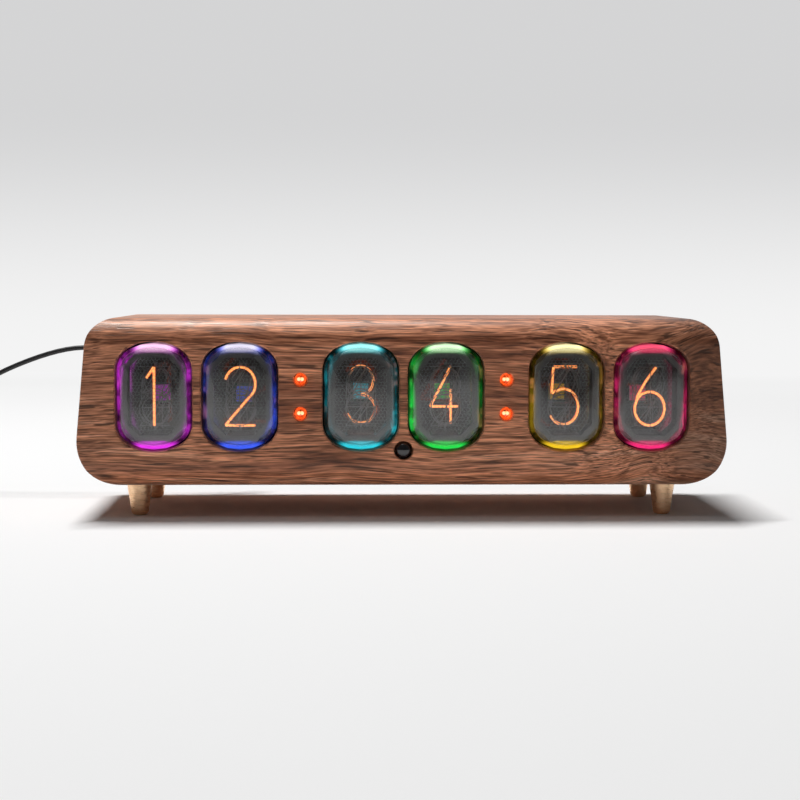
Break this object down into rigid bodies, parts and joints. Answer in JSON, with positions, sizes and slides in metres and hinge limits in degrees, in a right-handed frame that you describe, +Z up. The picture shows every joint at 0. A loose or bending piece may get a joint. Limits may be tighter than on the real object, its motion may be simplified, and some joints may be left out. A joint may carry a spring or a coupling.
{
  "type": "nixie tube clock",
  "caption": "Desk clock with upright glass number tubes and neon colon lamps in a rounded walnut block case on turned brass feet, with a power lead.",
  "frame": {"origin": "on the surface that the feet stand on, under the middle of the clock's box without the cord and its plugs", "axes": "+X to the right seen from the front, +Y to the back, +Z up; the tubes face -Y"},
  "size_m": [0.3082, 0.1034, 0.059],
  "materials": {
    "walnut": "oiled, satin",
    "cover_black": "fine matte",
    "screw_steel": "satin",
    "socket_resin": "moulded",
    "neon_glow": "glowing",
    "lamp_glass": "clear",
    "receiver_black": "glossy",
    "board_laminate": "lacquered",
    "spacer_brass": "turned",
    "chip_black": "moulded",
    "choke_ferrite": "matte",
    "capacitor_sleeve": "shrink sleeve",
    "cell_steel": "satin",
    "socket_black": "moulded",
    "cord_black": "satin jacket",
    "plug_black": "moulded",
    "foot_brass": "satin",
    "button_black": "moulded",
    "tube_glass": "clear",
    "electrode_nickel": "satin",
    "digit_glow": "glowing",
    "light_1": "lit",
    "light_2": "lit",
    "light_3": "lit",
    "light_4": "lit",
    "light_5": "lit",
    "light_6": "lit"
  },
  "bodies": {
    "clock_case": {"wooden_case": "walnut", "rear_cover": "cover_black", "case_screws": "screw_steel", "foot_screws": "screw_steel", "tube_sockets": "socket_resin", "lamp_electrodes": "neon_glow", "colon_lamps_left": "lamp_glass", "colon_lamps_right": "lamp_glass", "infrared_receiver": "receiver_black", "tube_board": "board_laminate", "control_board": "board_laminate", "board_spacers": "spacer_brass", "driver_chips": "chip_black", "boost_choke": "choke_ferrite", "storage_capacitor": "capacitor_sleeve", "processor": "chip_black", "backup_cell": "cell_steel", "button_switches": "chip_black", "power_socket": "socket_black", "power_cord": "cord_black", "cord_coil": "cord_black", "cord_plug": "plug_black", "usb_plug": "plug_black", "foot_front_left": "foot_brass", "foot_front_right": "foot_brass", "foot_rear_left": "foot_brass", "foot_rear_right": "foot_brass", "tube_1_glass": "tube_glass", "tube_1_anode": "electrode_nickel", "tube_1_digits": "electrode_nickel", "tube_1_lit_digit": "digit_glow", "backlight_1": "light_1", "tube_2_glass": "tube_glass", "tube_2_anode": "electrode_nickel", "tube_2_digits": "electrode_nickel", "tube_2_lit_digit": "digit_glow", "backlight_2": "light_2", "tube_3_glass": "tube_glass", "tube_3_anode": "electrode_nickel", "tube_3_digits": "electrode_nickel", "tube_3_lit_digit": "digit_glow", "backlight_3": "light_3", "tube_4_glass": "tube_glass", "tube_4_anode": "electrode_nickel", "tube_4_digits": "electrode_nickel", "tube_4_lit_digit": "digit_glow", "backlight_4": "light_4", "tube_5_glass": "tube_glass", "tube_5_anode": "electrode_nickel", "tube_5_digits": "electrode_nickel", "tube_5_lit_digit": "digit_glow", "backlight_5": "light_5", "tube_6_glass": "tube_glass", "tube_6_anode": "electrode_nickel", "tube_6_digits": "electrode_nickel", "tube_6_lit_digit": "digit_glow", "backlight_6": "light_6"},
    "button_set": {"button_set": "button_black"},
    "button_up": {"button_up": "button_black"},
    "button_down": {"button_down": "button_black"}
  },
  "joints": [
    {"name": "button_set_press", "type": "slide", "parent": "clock_case", "child": "button_set", "axis": [0, -1, 0], "range_m": [0, 0.0008], "stiffness_N_per_m": 900},
    {"name": "button_up_press", "type": "slide", "parent": "clock_case", "child": "button_up", "axis": [0, -1, 0], "range_m": [0, 0.0008], "stiffness_N_per_m": 900},
    {"name": "button_down_press", "type": "slide", "parent": "clock_case", "child": "button_down", "axis": [0, -1, 0], "range_m": [0, 0.0008], "stiffness_N_per_m": 900}
  ]
}
